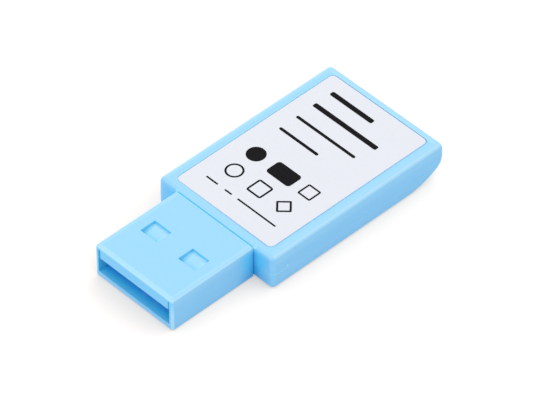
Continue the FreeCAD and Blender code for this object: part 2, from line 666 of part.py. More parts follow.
def make_small_parts():
    """Capacitors and resistors beside the two chips, and the inductors that lead from the
    radio chip to the antenna."""
    four = column_beside("bridge", 1, (-1.5, -0.5, 0.5, 1.5))
    five = column_beside("radio", -1, (-2, -1, 0, 1, 2))
    make_group("capacitors", "capacitor", four + five, True)
    make_group("resistors", "resistor", column_beside("bridge", -1, (-1, 0, 1)), True)
    line = [("0", f"(places.first_inductor + {step} * sizes.inductor_pitch)") for step in range(3)]
    make_group("matching_inductors", "inductor", line, False)


make_bottom_shell()
make_top_shell()
make_plug_sleeve()
make_contact_carrier()
make_contact("contact_power", "power", "-sizes.power_pitch / 2")
make_contact("contact_data_minus", "data", "-sizes.data_pitch / 2")
make_contact("contact_data_plus", "data", "sizes.data_pitch / 2")
make_contact("contact_ground", "power", "sizes.power_pitch / 2")
make_circuit_board()
make_label()
make_leaded_package("voltage_regulator", "regulator", (-1, 0, 1), (-1, 1))
make_leaded_package("surge_protector", "protector", (-1, 0, 1), (-1, 0, 1))
make_single_parts()
make_small_parts()
doc.recompute()

NODES = (
    "bottom_shell",
    "top_shell",
    "plug_sleeve",
    "contact_carrier",
    "contact_power",
    "contact_data_minus",
    "contact_data_plus",
    "contact_ground",
    "circuit_board",
    "label",
    "voltage_regulator",
    "surge_protector",
    "radio_chip",
    "serial_bridge_chip",
    "radio_crystal",
    "chip_antenna",
    "ferrite_bead",
    "capacitors",
    "resistors",
    "matching_inductors",
)

failed = [thing.Name for thing in doc.Objects if {"Invalid", "Error"} & set(thing.State)]
if failed:
    raise RuntimeError(f"objects that failed: {failed}")

os.makedirs("parts", exist_ok=True)
for name in NODES:
    shape = doc.getObjectsByLabel(name)[0].Shape
    if shape.isNull() or not shape.isValid():
        raise RuntimeError(f"{name} has no valid shape")
    shape.exportStep(f"parts/{name}.step")
    print(f"{name}: {len(shape.Solids)} solids, {shape.Volume:.3f} mm3")
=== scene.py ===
import math
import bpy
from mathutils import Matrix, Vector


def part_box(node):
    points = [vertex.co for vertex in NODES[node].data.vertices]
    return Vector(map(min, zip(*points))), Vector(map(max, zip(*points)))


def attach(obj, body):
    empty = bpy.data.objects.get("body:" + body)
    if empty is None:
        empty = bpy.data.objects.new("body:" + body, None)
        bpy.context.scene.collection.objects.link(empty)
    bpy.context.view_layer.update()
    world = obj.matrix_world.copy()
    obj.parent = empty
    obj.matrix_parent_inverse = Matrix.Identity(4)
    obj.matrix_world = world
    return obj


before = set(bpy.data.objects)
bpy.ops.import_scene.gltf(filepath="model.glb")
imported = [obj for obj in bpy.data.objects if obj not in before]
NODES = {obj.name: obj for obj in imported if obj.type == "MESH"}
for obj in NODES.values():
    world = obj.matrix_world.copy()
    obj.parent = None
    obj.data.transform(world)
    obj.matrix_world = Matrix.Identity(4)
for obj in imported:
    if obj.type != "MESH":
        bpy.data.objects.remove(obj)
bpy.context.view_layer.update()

from types import SimpleNamespace

import bpy
from mathutils import Matrix, Vector


# ---------------------------------------------------------------- camera
# The photograph was taken with a long lens from the plug's front right, about 44 degrees above
# the table. The place comes from the straight edges of the stick in the photograph.

SENSOR_WIDTH = 36.0
CLIP_START, CLIP_END = 0.01, 20.0


def photo_camera(azimuth, elevation, roll, aim, distance, lens):
    """A camera that looks down at an aim point. Its angles are in degrees, the aim point and the
    distance in metres, the lens in millimetres."""
    turn, tilt, lean = (math.radians(angle) for angle in (azimuth, elevation, roll))
    reach = math.cos(tilt)
    back = Vector((math.sin(turn) * reach, -math.cos(turn) * reach, math.sin(tilt)))
    level = Vector((math.cos(turn), math.sin(turn), 0))
    upright = back.cross(level)
    right = math.cos(lean) * level + math.sin(lean) * upright
    up = math.cos(lean) * upright - math.sin(lean) * level
    data = bpy.data.cameras.new("photo_camera")
    data.sensor_fit = "HORIZONTAL"
    data.sensor_width = SENSOR_WIDTH
    data.lens = lens
    data.clip_start = CLIP_START
    data.clip_end = CLIP_END
    camera = bpy.data.objects.new("photo_camera", data)
    turned = Matrix((right, up, back)).transposed().to_4x4()
    camera.matrix_world = Matrix.Translation(Vector(aim) + back * distance) @ turned
    bpy.context.scene.collection.objects.link(camera)
    bpy.context.scene.camera = camera


photo_camera(
    azimuth=46.3707,
    elevation=44.4237,
    roll=-0.1774,
    aim=(0.004226, -0.003379, 0.007842),
    distance=0.587413,
    lens=371.28,
)


# ---------------------------------------------------------------- table and light
# A white sheet in a white room, which lights the stick from all round as in a product
# photograph, and four square soft boxes: strong ones behind and in front, weak ones beside it.

SHEET_HALF = 3.0
SHEET_SHADOW_REACH = 0.012
ROOM_LIGHT, ROOM_WHITE = 0.76, 1.0
LAMP_DISTANCE = 0.55


class Wire:
    """A socket in a node tree, so that shading reads as sums on values."""

    def __init__(self, tree, socket=None):
        self.tree = tree
        self.socket = socket

    def node(self, kind, settings=None, inputs=None, output=0):
        """A node of a kind, its settings made first, with values or wires at its inputs."""
        made = self.tree.nodes.new(kind)
        for name, value in (settings or {}).items():
            setattr(made, name, value)
        for key, value in (inputs or {}).items():
            for single in value if isinstance(value, list) else [value]:
                if isinstance(single, Wire):
                    self.tree.links.new(single.socket, made.inputs[key])
                else:
                    made.inputs[key].default_value = single
        return Wire(self.tree, made.outputs[output])

    def parts(self):
        """The three numbers of a vector, each a wire."""
        split = self.node("ShaderNodeSeparateXYZ", None, {0: self})
        return [Wire(self.tree, socket) for socket in split.socket.node.outputs]

    def maths(self, operation, *values):
        """An operation on the values given, which don't include this wire."""
        return self.node("ShaderNodeMath", {"operation": operation}, dict(enumerate(values)))

    def __add__(self, other):
        return self.maths("ADD", self, other)

    def __radd__(self, other):
        return self.maths("ADD", other, self)

    def __sub__(self, other):
        return self.maths("SUBTRACT", self, other)

    def __rsub__(self, other):
        return self.maths("SUBTRACT", other, self)

    def __mul__(self, other):
        return self.maths("MULTIPLY", self, other)

    def __rmul__(self, other):
        return self.maths("MULTIPLY", other, self)

    def __truediv__(self, other):
        return self.maths("DIVIDE", self, other)

    def larger(self, other):
        return self.maths("MAXIMUM", self, other)

    def smaller(self, other):
        return self.maths("MINIMUM", self, other)

    def size(self):
        return self.maths("ABSOLUTE", self)

    def root(self):
        return self.maths("SQRT", self)

    def rise(self, low, high):
        """0 below low, 1 above high, smooth between them. Falls instead where low is above high."""
        settings = {"interpolation_type": "SMOOTHSTEP", "clamp": True}
        inputs = {"Value": self, "From Min": low, "From Max": high, "To Min": 0.0, "To Max": 1.0}
        return self.node("ShaderNodeMapRange", settings, inputs)

    def colour(self, low, high):
        """A colour between two, by this wire."""
        share, first, second, mixed = 0, 6, 7, 2  # the Mix node's sockets for colours
        ends = [(*end, 1.0) if isinstance(end, tuple) else end for end in (low, high)]
        inputs = {share: self, first: ends[0], second: ends[1]}
        settings = {"data_type": "RGBA", "clamp_factor": True}
        return self.node("ShaderNodeMix", settings, inputs, mixed)

    def place(self):
        """Where a point lies in the stick's own frame, in metres."""
        return self.node("ShaderNodeTexCoord", None, None, "Object")

    def noise(self, scale, detail):
        """Soft noise over this place, from 0 to 1, with about so many grains to the metre."""
        inputs = {"Vector": self, "Scale": scale, "Detail": detail}
        return self.node("ShaderNodeTexNoise", None, inputs)

    def bump(self, strength, distance, settings=None):
        """A normal from this wire as a height, whose 1 stands for a distance in metres."""
        inputs = {"Strength": strength, "Distance": distance, "Height": self}
        return self.node("ShaderNodeBump", settings, inputs)


def linear(red, green, blue):
    """A colour as read from a screen, 0 to 255, in the scene's linear light."""
    shares = (channel / 255 for channel in (red, green, blue))
    return tuple(s / 12.92 if s <= 0.04045 else ((s + 0.055) / 1.055) ** 2.4 for s in shares)


def new_material(name):
    """An empty material, a wire to start from and its output node."""
    material = bpy.data.materials.new(name)
    material.use_nodes = True
    material.node_tree.nodes.clear()
    output = material.node_tree.nodes.new("ShaderNodeOutputMaterial")
    return material, Wire(material.node_tree), output


def backdrop_share(wire):
    """1 for what the camera sees, straight or in a reflection, 0 for what lights the stick."""
    path = wire.node("ShaderNodeLightPath").socket.node.outputs
    rays = ("Is Camera Ray", "Is Glossy Ray", "Is Transmission Ray")
    seen, mirrored, through = [Wire(wire.tree, path[name]) for name in rays]
    return seen.larger(mirrored).larger(through)


def diffuse(wire, colour):
    return wire.node("ShaderNodeBsdfDiffuse", None, {"Color": (*colour, 1.0)})


def lay_sheet():
    """The white sheet. It lights the stick as white paper would. The camera sees it glow instead,
    less so near the stick, so that it stays white and has a shallow shadow. The normal that the
    shadow is found with leans to the back right, so that more of it lies to the front left."""
    mesh = bpy.data.meshes.new("white_sheet")
    corners = [(x * SHEET_HALF, y * SHEET_HALF, 0) for x, y in ((-1, -1), (1, -1), (1, 1), (-1, 1))]
    mesh.from_pydata(corners, [], [(0, 1, 2, 3)])
    sheet = bpy.data.objects.new("white_sheet", mesh)
    bpy.context.scene.collection.objects.link(sheet)
    material, wire, output = new_material("white_sheet")
    leaning = wire.node("ShaderNodeCombineXYZ", None, {0: 0.24, 1: 0.25, 2: 1.0})
    reach = {"Distance": SHEET_SHADOW_REACH, "Normal": leaning}
    openness = wire.node("ShaderNodeAmbientOcclusion", {"samples": 16}, reach, "AO")
    hidden, gain, brightest = 0.40, 0.54, 0.86
    brightness = (hidden + gain * openness).smaller(brightest)
    glow = wire.node("ShaderNodeEmission", None, {"Color": brightness, "Strength": 1.0})
    grey_paper = diffuse(wire, linear(134, 126, 120))
    shown = wire.node("ShaderNodeAddShader", None, {0: grey_paper, 1: glow})
    white_paper = diffuse(wire, linear(243, 243, 243))
    ends = {0: backdrop_share(wire), 1: white_paper, 2: shown}
    either = wire.node("ShaderNodeMixShader", None, ends)
    wire.tree.links.new(either.socket, output.inputs["Surface"])
    mesh.materials.append(material)


def soft_lamp(name, direction, side, brightness):
    """A square soft box that faces the stick. A brightness of 1 is that of a white wall."""
    data = bpy.data.lights.new(name, "AREA")
    data.shape = "SQUARE"
    data.size = side
    data.energy = brightness * math.pi * side * side
    lamp = bpy.data.objects.new(name, data)
    lamp.location = LAMP_DISTANCE * Vector(direction).normalized()
    lamp.rotation_euler = (-lamp.location).to_track_quat("-Z", "Y").to_euler()
    bpy.context.scene.collection.objects.link(lamp)


def light_room():
    """White walls all round: plain light from every side, pure white behind the sheet."""
    world = bpy.data.worlds.new("white_room")
    bpy.context.scene.world = world
    world.use_nodes = True
    world.node_tree.nodes.clear()
    wire = Wire(world.node_tree)
    output = world.node_tree.nodes.new("ShaderNodeOutputWorld")
    strength = ROOM_LIGHT + (ROOM_WHITE - ROOM_LIGHT) * backdrop_share(wire)
    walls = {"Color": (1.0, 1.0, 1.0, 1.0), "Strength": strength}
    room = wire.node("ShaderNodeBackground", None, walls)
    world.node_tree.links.new(room.socket, output.inputs["Surface"])


lay_sheet()
light_room()
soft_lamp("back_box", direction=(-0.52, 0.49, 0.70), side=0.26, brightness=2.9)
soft_lamp("right_box", direction=(0.93, 0.10, 0.35), side=0.26, brightness=1.0)
soft_lamp("front_box", direction=(0.05, -0.75, 0.66), side=0.26, brightness=2.4)
soft_lamp("left_box", direction=(-0.50, -0.65, 0.57), side=0.20, brightness=1.0)
bpy.context.scene.view_settings.view_transform = "Standard"


# ---------------------------------------------------------------- bottom shell
# The lower half of the housing, injection moulded in light blue ABS with a fine satin texture.
# A lip inside it enters the top shell, and two posts with pins carry the circuit board.

# The levels and borders that the resin's colours follow, in metres like the widths below.
BODY_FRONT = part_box("bottom_shell")[0][1]
BODY_SIDE, BODY_TAIL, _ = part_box("top_shell")[1]
PARTING_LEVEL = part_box("top_shell")[0][2]
PLUG_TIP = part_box("plug_sleeve")[0][1]
PLUG_SIDE, _, PLUG_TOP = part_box("plug_sleeve")[1]
LABEL_LOW, LABEL_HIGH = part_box("label")
LABEL_CORNER = 0.00058
# The slot below the plug's tongue: half its width, its floor and its roof, and half the width of
# the tongue's nose above it.
SLOT_SIDE, SLOT_FLOOR, SLOT_ROOF = 0.00555, 0.00087, 0.00277
NOSE_SIDE = 0.00529
# The middle of a small pale nick in the right side, near the front corner.
NICK = (0.00893, -0.00485, 0.00243)


def finish(node, material):
    """The node's own slots take the finished material."""
    for slot in NODES[node].material_slots:
        slot.material = material


def close_surface(wire, output, inputs):
    """The surface shader of a material, from the values and wires of its sockets."""
    shader = wire.node("ShaderNodeBsdfPrincipled", None, inputs)
    wire.tree.links.new(shader.socket, output.inputs["Surface"])


def whereabouts(wire):
    """Where a point of the resin is, which way it faces and how open it lies, for the masks below.
    Aside is how far it is from the middle plane, inward from the plug's tip, behind from the
    body's front. Lean holds the sizes of the normal's three parts."""
    place = wire.place()
    across, along, up = place.parts()
    normal = wire.node("ShaderNodeNewGeometry", None, None, "Normal")
    behind = along - BODY_FRONT
    on_body = behind.rise(-0.0001, 0.0)
    return SimpleNamespace(
        place=place,
        across=across,
        along=along,
        up=up,
        aside=across.size(),
        lean=[part.size() for part in normal.parts()],
        inward=along - PLUG_TIP,
        behind=behind,
        on_body=on_body,
        front_of_body=on_body * behind.rise(0.0010, 0.0006),
        under_plug_top=PLUG_TOP - up,
        beyond_label=(along - LABEL_HIGH[1]).rise(0.0, 0.0001),
        label_frame=(up - LABEL_LOW[2]).rise(-0.0001, 0.0) * behind.rise(0.0004, 0.0006),
        openness=wire.node("ShaderNodeAmbientOcclusion", {"samples": 8}, {"Distance": 0.002}, "AO"),
    )


def short_of(distance):
    """1 where a signed distance past a face is below nought, or within the mesh's rounding."""
    return distance.rise(0.00003, 0.00001)


def past(distance):
    """1 where a signed distance past a face is above nought, or within the mesh's rounding."""
    return distance.rise(-0.00003, -0.00001)


def edge_highlights(at):
    """Painted highlights along the long edges of the top and the upright edges, and a painted
    lighter band on the upper part of the sides.
    """
    nearly_flat = at.lean[2].rise(0.9995, 0.993)
    turning = at.lean[2].rise(0.985, 0.88)
    top_edge = (0.3 + 0.22 * at.on_body) * nearly_flat + (0.7 - 0.22 * at.on_body) * turning
    still_up = at.lean[2].rise(0.05 + 0.20 * at.on_body, 0.80 + 0.10 * at.on_body)
    top_edge = top_edge * still_up * at.up.rise(0.0030, 0.0036)
    top_edge = top_edge * (1 - 0.55 * at.front_of_body * at.lean[1].rise(0.05, 0.40))
    upright_edge = (at.lean[0] * at.lean[1]).rise(0.03, 0.35) * (0.7 - 0.6 * at.on_body)
    # A painted lighter band high on the sides, where more light falls.
    high_side = 0.17 * at.up.rise(0.0031, 0.0040) * (1 - at.lean[1])
    return top_edge.larger(upright_edge).larger(high_side)


def rim_highlights(at):
    """Painted highlight bands along the outline of the plug's top and of the body's, and over all
    of the tail's top.
    """
    plug_front = 0.75 * at.inward.rise(0.0010, 0.0001)
    plug_sides = 0.5 * (PLUG_SIDE - at.aside).rise(0.0014, 0.0)
    plug_rim = plug_front.larger(plug_sides) * at.under_plug_top.rise(0.0003, 0.0001)
    inside_outline = (BODY_SIDE - at.aside).smaller(BODY_TAIL - at.along)
    body_rim = inside_outline.rise(0.0014, 0.0007) * at.up.rise(0.0040, 0.0044)
    tail_rim = at.beyond_label * at.up.rise(0.0044, 0.0045)
    body_rims = (0.30 * body_rim).larger(0.40 * tail_rim)
    return 0.95 * plug_rim * (1 - at.on_body) + body_rims * at.on_body


def seam_highlight_and_nick(at):
    """A painted highlight along the parting line near the front corners, and a lighter spot at the
    nick.
    """
    seam = (at.up - PARTING_LEVEL).size().rise(0.00007, 0.00002) * at.on_body
    seam = seam * at.behind.rise(0.0045, 0.0015)
    ends = {0: at.place, 1: NICK}
    off_nick = at.place.node("ShaderNodeVectorMath", {"operation": "DISTANCE"}, ends, "Value")
    return (0.6 * seam).larger(0.7 * off_nick.rise(0.00022, 0.00006))


def hollow_shade_layers(at):
    """Painted shade and light in the corner between plug and body, darkest blue at its foot, and in
    every other hollow but the slot and the label's, the latch windows among them: a deeper or
    brighter blue where the hollow hides the room, standing in for light that passes through the
    resin."""
    root = (at.behind.size() + (at.aside - PLUG_SIDE).larger(0.0)).rise(0.0030, 0.0)
    beside_plug = root * at.under_plug_top.rise(0.0, 0.0010)
    # Painted shade: the corner's blue, darker at its foot by the table.
    upper_corner_shade = root.rise(0.85, 1.0).colour(linear(77, 205, 251), linear(82, 186, 240))
    corner_shade_blue = at.up.rise(0.0002, 0.0030).colour(linear(34, 168, 229), upper_corner_shade)
    # Painted shade and light in other hollows, where the ambient occlusion finds them closed in.
    recess = at.openness.rise(0.92, 0.45) * at.up.rise(0.0010, 0.0024)
    recess = recess * (1 - at.label_frame) * at.lean[2].rise(0.99, 0.9) * (1 - beside_plug)
    in_window = at.inward.rise(0.0045, 0.0048) * at.inward.rise(0.0078, 0.0075)
    recess_shade_blue = in_window.colour(linear(110, 228, 255), linear(112, 214, 250))
    return [(0.9 * beside_plug, corner_shade_blue), (recess, recess_shade_blue)]


def label_edge_shade_layers(at):
    """The border of the label's recess: painted shade along the edge at the front and the right,
    and a painted bright line in the gap along the left."""
    beyond_x = (at.aside - (LABEL_HIGH[0] - LABEL_CORNER)).larger(0.0)
    middle_y = (LABEL_LOW[1] + LABEL_HIGH[1]) / 2
    half_y = LABEL_HIGH[1] - middle_y
    beyond_y = ((at.along - middle_y).size() - (half_y - LABEL_CORNER)).larger(0.0)
    off_label = (beyond_x * beyond_x + beyond_y * beyond_y).root() - LABEL_CORNER
    edge = off_label.rise(0.0, 0.00003) * off_label.rise(0.00024, 0.00012) * at.label_frame
    edge = edge * at.across.rise(-0.008, 0.006) * (1 - at.beyond_label)
    gap = off_label.rise(0.00009, 0.00007) * at.label_frame * at.across.rise(-0.0070, -0.0073)
    return [(0.9 * edge, linear(104, 184, 236)), (0.8 * gap, linear(180, 240, 255))]


def top_light_layers(at):
    """Painted light, standing in for light through the resin: a lighter blue at the two ends of the
    front edge's square part, and on the floors of the latch windows."""
    square_end = at.front_of_body * (at.aside - PLUG_SIDE).size().rise(0.0003, 0.0001)
    square_end = square_end * at.up.rise(0.0042, 0.0044) * at.openness.rise(0.95, 0.7)
    floor = at.lean[2].rise(0.97, 0.99) * at.up.rise(0.0034, 0.0036)
    floor = floor * at.under_plug_top.rise(0.0001, 0.0002) * at.openness.rise(0.95, 0.68)
    # Painted light on the latch windows' floors, lighter towards their back.
    window_floor_light = at.inward.rise(0.0051, 0.0066).colour(linear(136, 226, 255), linear(186, 236, 255))
    return [(square_end, linear(190, 240, 255)), (floor, window_floor_light)]


def slot_depth(at):
    """The slot below the tongue, from its mouth inwards."""
    in_slot = short_of(at.aside - SLOT_SIDE) * past(at.up - SLOT_FLOOR)
    return in_slot * short_of(at.up - SLOT_ROOF) * at.behind.rise(0.0, -0.0001)


def slot_shade_layers(at, in_slot, shade):
    """Painted shade and light: the tongue's front, bluer towards the sleeve above it; the slot,
    darker and bluer the deeper in; its side walls near the mouth, lighter than its floor; and
    lighter gaps beside the tongue's nose."""
    tongue_front = at.inward.rise(0.0004, 0.0003) * at.up.rise(0.0020, 0.0041)
    tongue_front = tongue_front * at.up.rise(0.00423, 0.00419)
    deep = in_slot * at.inward.rise(0.0002, 0.0018)
    side_wall = in_slot * at.lean[0] * at.inward.rise(0.0026, 0.0004)
    gap = short_of(at.aside - SLOT_SIDE) * past(at.aside - NOSE_SIDE)
    gap = gap * (at.up - SLOT_ROOF).rise(-0.00001, 0.00001) * at.inward.rise(0.00001, 0.00003)
    gap = gap * at.inward.rise(0.0007, 0.0006) * at.under_plug_top.rise(0.00030, 0.00034)
    # Painted shade and light in the slot and on the tongue's front.
    return [
        (0.55 * tongue_front, linear(96, 202, 250)),
        (shade, linear(80, 212, 255)),
        (deep, linear(54, 168, 252)),
        (side_wall, linear(84, 208, 255)),
        (gap, linear(130, 220, 255)),
    ]


def moulded_blue(name, seed):
    """Light blue moulding resin: a faint cloudiness and a fine spark-eroded skin, with painted
    highlights on the edges, rims and parting line, a lighter spot at a nick, and painted shade and
    light in corners, hollows and the slot, a deeper or brighter blue that stands in for light
    passing through the resin. Each layer is a share and a colour, the later over the earlier."""
    material, wire, output = new_material(name)
    at = whereabouts(wire)
    elsewhere = {"Vector": at.place, "Location": (seed * 0.013, 0, 0)}
    moved = wire.node("ShaderNodeMapping", None, elsewhere)
    cloud = moved.noise(160.0, 3.0)
    skin = moved.noise(5200.0, 2.0)
    pits = moved.noise(1500.0, 1.0)
    in_slot = slot_depth(at)
    shade = in_slot * at.inward.rise(-0.0003, 0.0006)
    # Painted highlights on edges, rims and the parting line, and a lighter spot at the nick.
    highlights_and_nick = edge_highlights(at).larger(rim_highlights(at)).larger(seam_highlight_and_nick(at))
    layers = [(highlights_and_nick, linear(180, 229, 254))] + hollow_shade_layers(at) + label_edge_shade_layers(at)
    layers += top_light_layers(at) + slot_shade_layers(at, in_slot, shade)
    blue = cloud.rise(0.3, 0.7).colour(linear(126, 200, 246), linear(129, 202, 248))
    for share, tint in layers:
        blue = share.colour(blue, tint)
    inputs = {
        "Base Color": blue,
        "Roughness": 0.38 + 0.10 * (cloud - 0.5) + 0.12 * (skin - 0.5) - 0.24 * shade,
        "Normal": (0.7 * skin + 0.3 * pits).bump(0.10, 0.00002),
        "IOR": 1.53,
    }
    close_surface(wire, output, inputs)
    return material


finish("bottom_shell", moulded_blue("bottom_shell_resin", 1))


# ---------------------------------------------------------------- plug sleeve
# The plug has no metal shell: its sleeve is moulded in the same resin, with two latch windows
# on each flat side. It is pressed over the contact carrier.

finish("plug_sleeve", moulded_blue("plug_sleeve_resin", 3))


# ---------------------------------------------------------------- contact carrier
# The insulator in the plug, moulded in the same resin: a tongue over the slot, a block behind it
# and a neck through the front wall of the housing, behind which two ears hold it.

finish("contact_carrier", moulded_blue("contact_carrier_resin", 4))


# ---------------------------------------------------------------- contacts
# Four strips of phosphor bronze, stamped and flashed with gold. They lie in channels under the
# tongue, with their front ends turned up into it, and their tails are soldered to the board.

def gold_flashed():
    """Thin gold over a rolled strip: faint lines along the strip, duller patches."""
    material, wire, output = new_material("gold_flashed_strip")
    place = wire.place()
    drawn = wire.node("ShaderNodeMapping", None, {"Vector": place, "Scale": (1.0, 0.04, 1.0)})
    lines = drawn.noise(9000.0, 2.0)
    dull = place.noise(900.0, 2.0)
    inputs = {
        "Base Color": dull.rise(0.35, 0.7).colour(linear(236, 196, 110), linear(214, 168, 88)),
        "Metallic": 1.0,
        "Roughness": 0.22 + 0.2 * dull,
        "Normal": lines.bump(0.2, 0.00001),
    }
    close_surface(wire, output, inputs)
    return material


GOLD = gold_flashed()
for contact in ("contact_power", "contact_data_minus", "contact_data_plus", "contact_ground"):
    finish(contact, GOLD)


# ---------------------------------------------------------------- circuit board
# A 0.8 mm board of glass cloth and epoxy under green solder mask, copper poured on both faces.
# It lies on the posts of the bottom shell, and their pins go through its two holes.

def masked_laminate():
    """Green mask, lighter over copper, small covered vias, bare cut laminate at the edges."""
    material, wire, output = new_material("masked_laminate")
    place = wire.place()
    upright = wire.node("ShaderNodeNewGeometry", None, None, "True Normal").parts()[2].size()
    cut_edge = upright.rise(0.6, 0.4)
    copper = place.noise(420.0, 0.0).rise(0.47, 0.50)
    spots = {"Vector": place, "Scale": 520.0, "Randomness": 0.9}
    via = wire.node("ShaderNodeTexVoronoi", {"voronoi_dimensions": "3D"}, spots)
    ring = via.rise(0.20, 0.16) - via.rise(0.10, 0.07)
    weave = place.noise(3800.0, 1.0)
    green = copper.colour(linear(24, 84, 50), linear(44, 118, 70))
    dotted = ring.colour(green, linear(92, 150, 92))
    laminate = weave.rise(0.35, 0.65).colour(linear(176, 166, 120), linear(203, 194, 152))
    inputs = {
        "Base Color": cut_edge.colour(dotted, laminate),
        "Roughness": 0.30 + 0.35 * cut_edge + 0.06 * weave,
        "Normal": (0.8 * copper + 0.5 * ring + 0.2 * weave).bump(0.5, 0.00003),
        "IOR": 1.5,
    }
    close_surface(wire, output, inputs)
    return material


finish("circuit_board", masked_laminate())


# ---------------------------------------------------------------- chips with leads
# The voltage regulator and the surge protector: black epoxy mouldings with bent, tinned leads
# on two sides, soldered to the underside of the board. Along the stick the cases are 1.6 mm.

HALF_CASE = 0.0008


def black_epoxy(place, lead):
    """The sockets of a black moulded package, tinned where the lead wire is 1."""
    grain = place.noise(7000.0, 2.0)
    stain = place.noise(900.0, 2.0)
    epoxy = stain.rise(0.3, 0.7).colour(linear(30, 30, 32), linear(40, 40, 42))
    tin = stain.rise(0.3, 0.7).colour(linear(196, 197, 200), linear(172, 172, 176))
    return {
        "Base Color": lead.colour(epoxy, tin),
        "Metallic": lead,
        "Roughness": (0.58 + 0.15 * grain) * (1 - lead) + (0.28 + 0.14 * stain) * lead,
        "Normal": (grain * (1 - 0.7 * lead)).bump(0.3, 0.00001),
    }


def box_middle(name):
    """The middle of a node's box."""
    return [(low + high) / 2 for low, high in zip(*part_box(name))]


def leaded_package(name):
    """A package whose leads are what stands further along the stick than its case."""
    material, wire, output = new_material(name + "_finish")
    place = wire.place()
    away = (place.parts()[1] - box_middle(name)[1]).size()
    lead = away.rise(HALF_CASE, HALF_CASE + 0.00002)
    close_surface(wire, output, black_epoxy(place, lead))
    return material


for package in ("voltage_regulator", "surge_protector"):
    finish(package, leaded_package(package))


# ---------------------------------------------------------------- chips without leads
# The radio chip and the serial bridge chip: flat square packages under the board, tinned pads
# 0.5 mm apart along their four sides, and a moulded dot by the first pad.

PAD_PITCH = 0.0005
PAD_HEIGHT = 0.00024
CORNER_CLEARANCE = 0.0005
DOT_RADIUS = 0.00026
# Half a pad's width as a share of the pitch, and the dot's place as a share of the half width.
PAD_HALF_SHARE = 0.24
DOT_SHARE = 0.72


def flat_package(name):
    """Pads show at the foot of the sides, one at each step of the pitch. The dot is on the face
    that looks down."""
    low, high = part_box(name)
    middle = box_middle(name)
    half = (high[0] - low[0]) / 2
    material, wire, output = new_material(name + "_finish")
    place = wire.place()
    across, along, up = place.parts()
    off_x, off_y = across - middle[0], along - middle[1]

    def pads_along(off_middle):
        """1 on the pads along a side, 0 between them."""
        step = wire.maths("PINGPONG", off_middle / PAD_PITCH + 0.5, 1.0)
        return (step - 0.5).size().rise(PAD_HALF_SHARE, PAD_HALF_SHARE - 0.04)

    near_board = up.rise(high[2] - PAD_HEIGHT, high[2] - PAD_HEIGHT + 0.00004)
    row_end = half - CORNER_CLEARANCE
    clear_of_corner = off_x.size().smaller(off_y.size()).rise(row_end + 0.0001, row_end)
    side_x = off_x.size().rise(half - 0.00003, half - 0.00001)
    pad = (side_x * pads_along(off_y)).larger((1 - side_x) * pads_along(off_x))
    pad = pad * near_board * clear_of_corner
    dot_x, dot_y = off_x + DOT_SHARE * half, off_y + DOT_SHARE * half
    from_dot = (dot_x * dot_x + dot_y * dot_y).root()
    on_face = up.rise(low[2] + 0.00003, low[2] + 0.00001)
    dot = from_dot.rise(DOT_RADIUS, DOT_RADIUS - 0.00002) * on_face
    inputs = black_epoxy(place, pad)
    inputs["Roughness"] = inputs["Roughness"] * (1 - 0.45 * dot)
    dish = dot.bump(0.6, 0.00005, {"invert": True})
    wire.tree.links.new(dish.socket, inputs["Normal"].socket.node.inputs["Normal"])
    close_surface(wire, output, inputs)
    return material


for package in ("radio_chip", "serial_bridge_chip"):
    finish(package, flat_package(package))


# ---------------------------------------------------------------- crystal
# A quartz crystal in a ceramic tub, soldered under the board. A lid of plated metal, 0.24 mm
# smaller all round, is seam-welded over it.

LID_MARGIN = 0.00022


def lidded_tub():
    """Plated lid on the side away from the board, dark ceramic round it."""
    low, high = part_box("radio_crystal")
    middle = box_middle("radio_crystal")
    material, wire, output = new_material("crystal_finish")
    place = wire.place()

    def within_margin(axis, off_middle):
        """1 over the lid's extent along one axis."""
        edge = (high[axis] - low[axis]) / 2 - LID_MARGIN
        return off_middle.size().rise(edge, edge - 0.00004)

    across, along, _ = place.parts()
    lid = within_margin(0, across - middle[0]) * within_margin(1, along - middle[1])
    grain = place.noise(4200.0, 3.0)
    plating = grain.rise(0.35, 0.7).colour(linear(214, 205, 176), linear(188, 178, 150))
    ceramic = grain.rise(0.3, 0.7).colour(linear(62, 56, 52), linear(74, 67, 61))
    inputs = {
        "Base Color": lid.colour(ceramic, plating),
        "Metallic": lid,
        "Roughness": 0.62 - 0.34 * lid + 0.12 * grain,
        "Normal": (0.15 * grain + lid).bump(0.5, 0.00003),
    }
    close_surface(wire, output, inputs)
    return material


finish("radio_crystal", lidded_tub())


# ---------------------------------------------------------------- small parts with end caps
# The ceramic antenna, the ferrite bead and the rows of capacitors, resistors and inductors:
# fired ceramic blocks whose two ends are dipped in silver and tinned, 0.2 to 0.5 mm deep.

def capped_ceramic(name, axis, cap, light, dark, gloss):
    """A ceramic finish for every block of a node, tinned within a cap's width of its ends."""
    ends = sorted({round(vertex.co[axis], 6) for vertex in NODES[name].data.vertices})
    material, wire, output = new_material(name + "_finish")
    place = wire.place()
    along = place.parts()[axis]
    ragged = place.noise(2600.0, 1.0)
    grain = place.noise(6500.0, 2.0)
    nearest = (along - ends[0]).size()
    for end in ends[1:]:
        nearest = nearest.smaller((along - end).size())
    tinned = (nearest + 0.00006 * ragged).rise(cap + 0.00004, cap + 0.00001)
    ceramic = grain.rise(0.3, 0.7).colour(linear(*light), linear(*dark))
    tin = ragged.rise(0.3, 0.7).colour(linear(205, 205, 208), linear(176, 177, 182))
    inputs = {
        "Base Color": tinned.colour(ceramic, tin),
        "Metallic": tinned,
        "Roughness": gloss + (0.30 - gloss) * tinned + 0.12 * grain,
        "Normal": (0.25 * grain + 0.8 * tinned).bump(0.5, 0.00002),
    }
    close_surface(wire, output, inputs)
    return material


